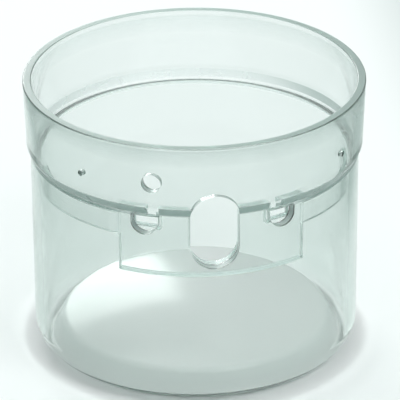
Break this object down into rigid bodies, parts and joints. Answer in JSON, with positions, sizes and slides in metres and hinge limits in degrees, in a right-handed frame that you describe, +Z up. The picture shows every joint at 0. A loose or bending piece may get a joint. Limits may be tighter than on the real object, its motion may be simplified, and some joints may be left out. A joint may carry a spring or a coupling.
{
  "type": "queen cage",
  "caption": "Round clear cage that holds a queen bee in a hive, with an oblong release window, two worker windows and a curved gate that turns inside the wall to open or screen it.",
  "frame": {"origin": "centre of the foot ring's flat underside, where the cage stands", "axes": "+Z up along the cage's axis towards the open rim, -Y through the release window"},
  "size_m": [0.072, 0.072, 0.06],
  "materials": {
    "clear_plastic": "clear moulded plastic with a faint green-grey tint, polished",
    "clear_plastic_gate": "clear moulded plastic with a faint green-grey tint, polished"
  },
  "bodies": {
    "cup": {"cup": "clear_plastic"},
    "gate": {"gate": "clear_plastic_gate"}
  },
  "joints": [
    {"name": "gate_turn", "type": "hinge", "parent": "cup", "child": "gate", "pos_m": [0, 0, 0.0375], "axis": [0, 0, 1], "range_deg": [-24.4, 24.4]}
  ]
}
